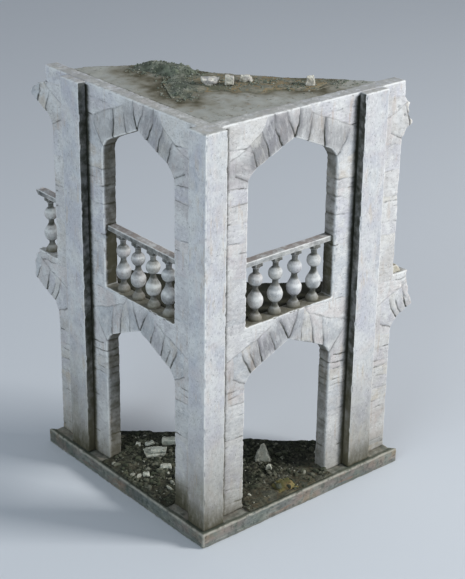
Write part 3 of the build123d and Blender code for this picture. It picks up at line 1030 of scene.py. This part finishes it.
def painted_plaster(name, light, mid, wash, grime, top, highlight, accent, stones=STONES, stretch=2.6,
                    stone_share=0.35, specks=0.45, accent_share=0.3, mottle=0.16, level_stains=False):
    """Cast plaster with blotched colour coats, tool marks, a dark wash in the hollows that also paints shade
    on shaded sides and under things, splashed earth at the foot and dry-brushed edges."""
    paint = Paint(name, light)
    times, plus, step, coat, noise_of, layer = (paint.times, paint.plus, paint.step, paint.coat, paint.noise,
                                                paint.attribute)
    coat(mid, step(noise_of(13, 4, shift=3), 0.42, 0.62))
    tint_share = times(step(noise_of(6, 3, shift=17), 0.36, 0.6), stone_share)
    coat(paint.ramp(layer("stone"), stones), tint_share)
    way = {"stretch": 7} if level_stains else {"run": 7}
    stain = times(step(noise_of(2.4, 3, 0.6, shift=41, **way), 0.54, 0.68),
                  step(noise_of(19, 2, shift=43), 0.44, 0.58))
    coat(accent, times(stain, accent_share))

    # tool marks, patches, the dark arch stones and specks
    marks = noise_of(0.7, 3, 0.6, stretch=stretch)
    coat(wash, times(step(marks, 0.55, 0.75), 0.28))
    coat(highlight, times(step(marks, 0.44, 0.3), 0.45))
    coat(wash, times(step(noise_of(2.2, 4, 0.7, shift=37), 0.48, 0.68), mottle))
    dark_strokes = step(noise_of(1.6, 4, 0.65, shift=29, stretch=4), 0.3, 0.7)
    coat(SHADE, times(times(layer("shade"), plus(dark_strokes, 0.45)), 0.72))
    speck = step(noise_of(0.75, 2, shift=71), 0.64, 0.71)
    coat(wash, times(speck, specks))

    # level tops, dry-brushed edges, painted highlights on the balusters' bellies and the chunks' tops, and
    # fresh breaks
    coat(top, times(layer("top"), step(noise_of(4, 5, 0.7, shift=5), 0.32, 0.56)))
    edge_here = times(step(layer("edge"), 0.25, 0.8), step(noise_of(2.2, 3), 0.28, 0.48))
    coat(highlight, times(edge_here, 0.8))
    warmth = times(layer("fresh"), step(noise_of(3, 3, shift=47), 0.45, 0.6))
    coat(highlight, times(layer("fresh"), 0.6))
    coat(accent, times(warmth, 0.35))

    # dark wash and painted shade in the hollows, on shaded sides and under things, and earth splashed up from
    # the foot
    hollow = plus(layer("wash"), times(step(noise_of(3.4, 4, 0.6, shift=23), 0.3, 0.7), 0.16))
    coat(wash, step(hollow, 0.16, 0.88))
    streaks = plus(times(noise_of(2.6, 4, 0.65, shift=77, run=2.5), 0.7), 0.6)
    splash = times(layer("grime"), streaks)
    coat(grime, splash)
    coat(wash, times(step(splash, 0.35, 1.3), 0.9))

    height = plus(times(marks, 0.45), times(noise_of(0.33, 2, shift=9), 0.35))
    height = paint.math("SUBTRACT", height, times(speck, 0.25))
    return paint.finish(height, 0.28, 0.75, step(noise_of(2.5, 3, shift=55), -0.9, 0.9))


def stony(name, dark, shades, moss, dark_from=0.5, dark_to=0.3):
    """Earth or gravel: every lump its own shade, with painted shade in the hollows of the bumps and between
    lumps, and a greenish bloom.
    """
    paint = Paint(name)
    times, step, coat = paint.times, paint.step, paint.coat
    paint.base = paint.ramp(paint.attribute("stone"), shades)
    coat(moss, times(step(paint.noise(7, 4, shift=4), 0.45, 0.65), 0.6))
    mottle = paint.noise(1.6, 4, 0.65, shift=12)
    coat(dark, step(mottle, dark_from, dark_to))
    coat(dark, paint.attribute("wash"))
    coat(paint.ramp(paint.noise(7, 3, 0.55, shift=61), DUST), paint.attribute("dust"))
    height = paint.plus(times(mottle, 0.6), times(paint.noise(0.4), 0.4))
    return paint.finish(height, 0.5, 0.9, step(paint.noise(2, 3, shift=33), -1.2, 0.8))


# the colours are: light coat, darker coat, dark wash and painted shade, grime, level tops, highlight, accent
wall_paint = painted_plaster(
    "wall_paint", (220, 219, 216), (200, 198, 196), WASH_AND_SHADE, GRIME, (160, 158, 149), (242, 241, 236), RUST,
    stone_share=0.4)
shaft_paint = painted_plaster(
    "shaft_paint", (212, 212, 210), (196, 196, 199), WASH_AND_SHADE, GRIME, (172, 168, 156), (242, 241, 236), OCHRE,
    stone_share=0.24)
floor_paint = painted_plaster(
    "floor_paint", (176, 176, 166), (150, 148, 136), (56, 56, 44), (116, 106, 80), (172, 172, 164),
    (210, 206, 194), (154, 126, 96), stone_share=0.1, accent_share=0.95, specks=0.7, mottle=0.75)
# the first floor lies under the roof: its dark paint is dirt and painted shade
upper_floor_dirt_and_shade_paint = painted_plaster(
    "upper_floor_dirt_and_shade_paint", (92, 92, 78), (66, 68, 54), (32, 34, 26), (62, 58, 42), (70, 70, 56),
    (140, 138, 122), (100, 80, 58), stone_share=0.1)
base_paint = painted_plaster(
    "base_paint", (150, 152, 144), (108, 116, 110), (42, 54, 52), (82, 84, 66), (90, 90, 76),
    (210, 204, 190), (162, 126, 106), BASE_STONES, stretch=8, stone_share=0.6, accent_share=0.65, mottle=0.6,
    level_stains=True)
balustrade_paint = painted_plaster(
    "balustrade_paint", (214, 214, 210), (188, 190, 190), (58, 58, 48), GRIME, (160, 150, 144),
    (244, 243, 238), PINK)
roof_rubble_paint = painted_plaster(
    "roof_rubble_paint", (200, 196, 180), (164, 158, 142), (54, 54, 42), GRIME, (170, 164, 146),
    (228, 224, 210), OCHRE, stone_share=0.45, specks=0.55, mottle=0.6)
ground_rubble_paint = painted_plaster(
    "ground_rubble_paint", (170, 174, 160), (132, 136, 120), (40, 42, 34), (84, 80, 64), (140, 138, 122),
    (212, 210, 194), OCHRE, stone_share=0.15, specks=0.5, mottle=0.5)

# the colours are: painted shade between the lumps, the lumps' own shades, bloom
earth_paint = stony(
    "earth_paint", (30, 32, 25), [(0, (68, 68, 54)), (0.5, (88, 88, 72)), (1, (118, 114, 96))], (60, 68, 50),
    dark_from=0.58, dark_to=0.4)
mound_paint = stony(
    "mound_paint", (70, 66, 40), [(0, (116, 108, 70)), (0.5, (156, 140, 90)), (1, (192, 158, 112))],
    (98, 104, 64))
gravel_paint = stony(
    "gravel_paint", (78, 82, 70),
    [(0, (112, 116, 102)), (0.5, (132, 136, 122)), (0.85, (152, 153, 140)), (1, (196, 194, 182))],
    (112, 122, 100))
grain_paint = stony(
    "grain_paint", (46, 48, 38),
    [(0, (66, 68, 54)), (0.6, (92, 92, 76)), (0.88, (126, 124, 108)), (1, (200, 198, 182))], (70, 78, 58))


# ---- the pieces ----
SIDES = ("right", "left")
for side in SIDES:
    make_wall(side, wall_paint)
make_shaft("corner_pier", "corner_pier_shaft", ["right_wall", "left_wall", "base_plate"], shaft_paint, 400)
for index, side in enumerate(SIDES):
    pilaster = side + "_outer_pilaster"
    make_shaft(pilaster, pilaster + "_shaft", [side + "_wall", "base_plate"], shaft_paint, 420 + 20 * index)

# lines on the roof and the ground, as places (x, y)
HEAP_CREST = [(41, 91), (48, 78)]
HEAP_FLOW = [(44, 78), (38, 68), (27, 50)]
CHUNK_ROW = [(44, 56), (62, 47), (84, 27)]
GRIT_LINE = [(52, 50), (66, 42), (80, 28), (98, 20)]
FAR = 50                    # beyond it distances on the roof aren't told apart


def roof_dust(places):
    """Brown dust on the roof slab round the gravel and the fallen pieces, in patches."""
    patch = 0.25 * flat_noise(places, 9, 76)
    near = 1 - smoothstep(to_lines(places, [HEAP_CREST, HEAP_FLOW, CHUNK_ROW], FAR), 6, 26)
    fine = 0.22 * flat_noise(places, 3.2, 77)
    return np.clip(0.1 + (0.78 + patch) * near + 0.5 * patch + fine, 0, 1)


def spill_dust(places):
    """How far the spilled gravel is only dust: nowhere on the heap, everywhere far from it."""
    away = np.minimum(to_lines(places, [HEAP_CREST], FAR) - 11, to_lines(places, [HEAP_FLOW], FAR) - 5)
    return smoothstep(away + 4 * flat_noise(places, 6, 75), -4, 8)


def trodden(places):
    """Paler dust on the ground where the doorways open, mostly in the right one."""
    out = np.minimum(places[:, 0], places[:, 1]) + 3 * flat_noise(places, 5, 79)
    share = 0.08 + 0.17 * smoothstep(places[:, 0] - places[:, 1], -10, 10)
    return share * (1 - smoothstep(out, 2, 24))


make_slab("first_floor_slab", "first_floor_slab_cast", upper_floor_dirt_and_shade_paint, 460)
make_slab("roof_slab", "roof_slab_cast", floor_paint, 480, roof_dust)
make_base(base_paint)

for index, side in enumerate(SIDES):
    make_rail(side + "_handrail", balustrade_paint, 520 + index)
    for count in range(1, 5):
        make_baluster(f"{side}_baluster_{count}", balustrade_paint, 530 + 10 * index + count)
make_rail("left_stub_handrail", balustrade_paint, 550, snapped=True)
make_baluster("left_stub_baluster", balustrade_paint, 560)

ground = make_heap("groundwork", "groundwork_earth", "earth", earth_paint, 600, 0.6, 2, 0.6, trodden)
mound = make_heap("earth_mound", "earth_mound_heap", "earth", mound_paint, 620, 0.4, 12, 0.5, sunk=0.8)
roof_heap = make_heap("roof_gravel", "roof_gravel_heap", "gravel", gravel_paint, 640, 0.5, 24, 0.35,
                      spill_dust, sunk=1.5)

# how many corners each is missing, how deep they are cut, and how much it narrows below
ROOF_CHUNKS = {
    "roof_flat_chunk": (9, 0.3, 0.5), "roof_block_chunk": (4, 0.12, 0.1), "roof_wedge_chunk": (7, 0.3, 0.4),
    "roof_small_chunk": (8, 0.3, 0.2), "sill_fragment": (6, 0.25, 0)}
GROUND_CHUNKS = {
    "floor_tile_chunk": (3, 0.1, 0.2), "stacked_tile_chunk": (3, 0.08, 0.1), "brick_chunk": (3, 0.1, 0.1),
    "curved_tile_chunk": (5, 0.2, 0.2), "pale_chunk": (7, 0.22, 0.3), "doorway_stone": (6, 0.22, 0.1),
    "back_stone": (6, 0.22, 0.1), "pointed_shard": (5, 0.16, 0), "small_stone": (6, 0.22, 0.2)}
for chunks, paint, seed in ((ROOF_CHUNKS, roof_rubble_paint, 700), (GROUND_CHUNKS, ground_rubble_paint, 720)):
    for index, (chunk, shaping) in enumerate(chunks.items()):
        make_chunk(chunk, paint, seed + index, *shaping)


def heap_share(places):
    """Roof grains lie thickest on the heap, follow its flow and gather round the fallen pieces."""
    crest, flow, row = [to_lines(places, [line], FAR) for line in (HEAP_CREST, HEAP_FLOW, CHUNK_ROW)]
    thick = np.maximum(1 - smoothstep(crest, 7, 15), 0.8 * (1 - smoothstep(flow, 1, 13)))
    return np.maximum(thick, 0.15 * (1 - smoothstep(row, 2, 10)))


def grit_share(places):
    """Fine dark grit strews the roof behind and beside the fallen pieces."""
    near = 1 - smoothstep(to_lines(places, [GRIT_LINE], FAR), 2, 14)
    return near * smoothstep(flat_noise(places, 6, 78), -0.5, 0.5)


def debris_share(places):
    """Ground grains gather round the fallen pieces and in clumps."""
    fallen = np.full(len(places), 60.0)
    for chunk in GROUND_CHUNKS:
        middle = [sum(span(chunk, axis)) / 2 for axis in (X, Y)]
        fallen = np.minimum(fallen, np.linalg.norm(places - middle, axis=1))
    clumps = 0.5 + 0.5 * flat_noise(places, 9, 71)
    return np.maximum(1 - smoothstep(fallen, 5, 16), 0.45 * clumps)


roof = bpy.data.objects["roof_slab_cast"]
GRAINS = 1.0
ROOF_AREA = [(13, 13), (110, 13), (100, 24), (85, 37), (73, 52), (58, 71), (50, 86), (42, 98), (34, 103),
             (13, 111)]
GROUND_AREA = [(-0.5, 28), (-0.5, 79), (12, 80), (13, 106), (26, 92), (46, 74), (67, 50), (83, 35), (98, 24),
               (106, 13), (80, 12), (79, -0.5), (28, -0.5), (27, 12), (13, 13), (12, 27)]
scatter("roof_gravel_grains", gravel_paint, [roof, roof_heap], ROOF_AREA, 7000, (0.25, 0.95), 801, ROOF - 1,
        heap_share)
scatter("roof_fine_grit", gravel_paint, [roof, roof_heap], ROOF_AREA, 14000, (0.2, 0.6), 803, ROOF - 1,
        grit_share)
scatter("ground_grains", grain_paint, [ground, mound], GROUND_AREA, 9000, (0.28, 1.7), 802, EARTH - 2.0,
        debris_share)

# ---- floor, light and camera ----
FLOOR_REACH_M = 4.0
floor_mesh = bpy.data.meshes.new("studio_floor")
floor_corners = [(x * FLOOR_REACH_M, y * FLOOR_REACH_M, 0) for x, y in ((-1, -1), (1, -1), (1, 1), (-1, 1))]
floor_mesh.from_pydata(floor_corners, [], [(0, 1, 2, 3)])
floor = bpy.data.objects.new("studio_floor", floor_mesh)
bpy.context.scene.collection.objects.link(floor)
studio_paint = bpy.data.materials.new("studio_floor")
studio_paint.use_nodes = True
floor_shader = studio_paint.node_tree.nodes["Principled BSDF"]
floor_shader.inputs["Base Color"].default_value = colour(214, 217, 220)
floor_shader.inputs["Roughness"].default_value = 0.9
floor_mesh.materials.append(studio_paint)


def area_light(name, place, target, size, power, tint):
    light = bpy.data.lights.new(name, "AREA")
    light.shape = "SQUARE"
    light.size = size
    light.energy = power
    light.color = tint
    lamp = bpy.data.objects.new(name, light)
    lamp.location = place
    lamp.rotation_mode = "QUATERNION"
    lamp.rotation_quaternion = (Vector(target) - Vector(place)).to_track_quat("-Z", "Y")
    bpy.context.scene.collection.objects.link(lamp)


LIT_PLACE = (0, 0, 0.11)    # the middle of the ruin, metres
area_light("key", (0.75, -0.95, 0.75), LIT_PLACE, 0.35, 15.5, (0.97, 0.985, 1.0))
area_light("fill", (-1.1, -0.35, 0.6), LIT_PLACE, 0.8, 5.6, (0.76, 0.89, 1.0))
world = bpy.data.worlds.new("studio")
world.use_nodes = True
background = world.node_tree.nodes["Background"]
background.inputs["Color"].default_value = (0.80, 0.88, 1.0, 1)
background.inputs["Strength"].default_value = 0.32
bpy.context.scene.world = world
bpy.context.scene.view_settings.view_transform = "Standard"

CAMERA_YAW, CAMERA_PITCH, CAMERA_ROLL = math.radians(49.76), math.radians(-24.64), math.radians(0.81)
CAMERA_PLACE = Vector(CORNER) + Vector((-0.3731, -0.4590, 0.4024))
LENS_MM, SENSOR_MM = 94.84, 36
ahead = Vector((math.cos(CAMERA_YAW) * math.cos(CAMERA_PITCH), math.sin(CAMERA_YAW) * math.cos(CAMERA_PITCH),
                math.sin(CAMERA_PITCH)))
level = Vector((math.sin(CAMERA_YAW), -math.cos(CAMERA_YAW), 0))
upright = level.cross(ahead)
right = level * math.cos(CAMERA_ROLL) + upright * math.sin(CAMERA_ROLL)
above = upright * math.cos(CAMERA_ROLL) - level * math.sin(CAMERA_ROLL)
camera = bpy.data.objects.new("camera", bpy.data.cameras.new("camera"))
camera.data.lens = LENS_MM
camera.data.sensor_width = SENSOR_MM
camera.matrix_world = Matrix.Translation(CAMERA_PLACE) @ Matrix((right, above, -ahead)).transposed().to_4x4()
bpy.context.scene.collection.objects.link(camera)
bpy.context.scene.camera = camera
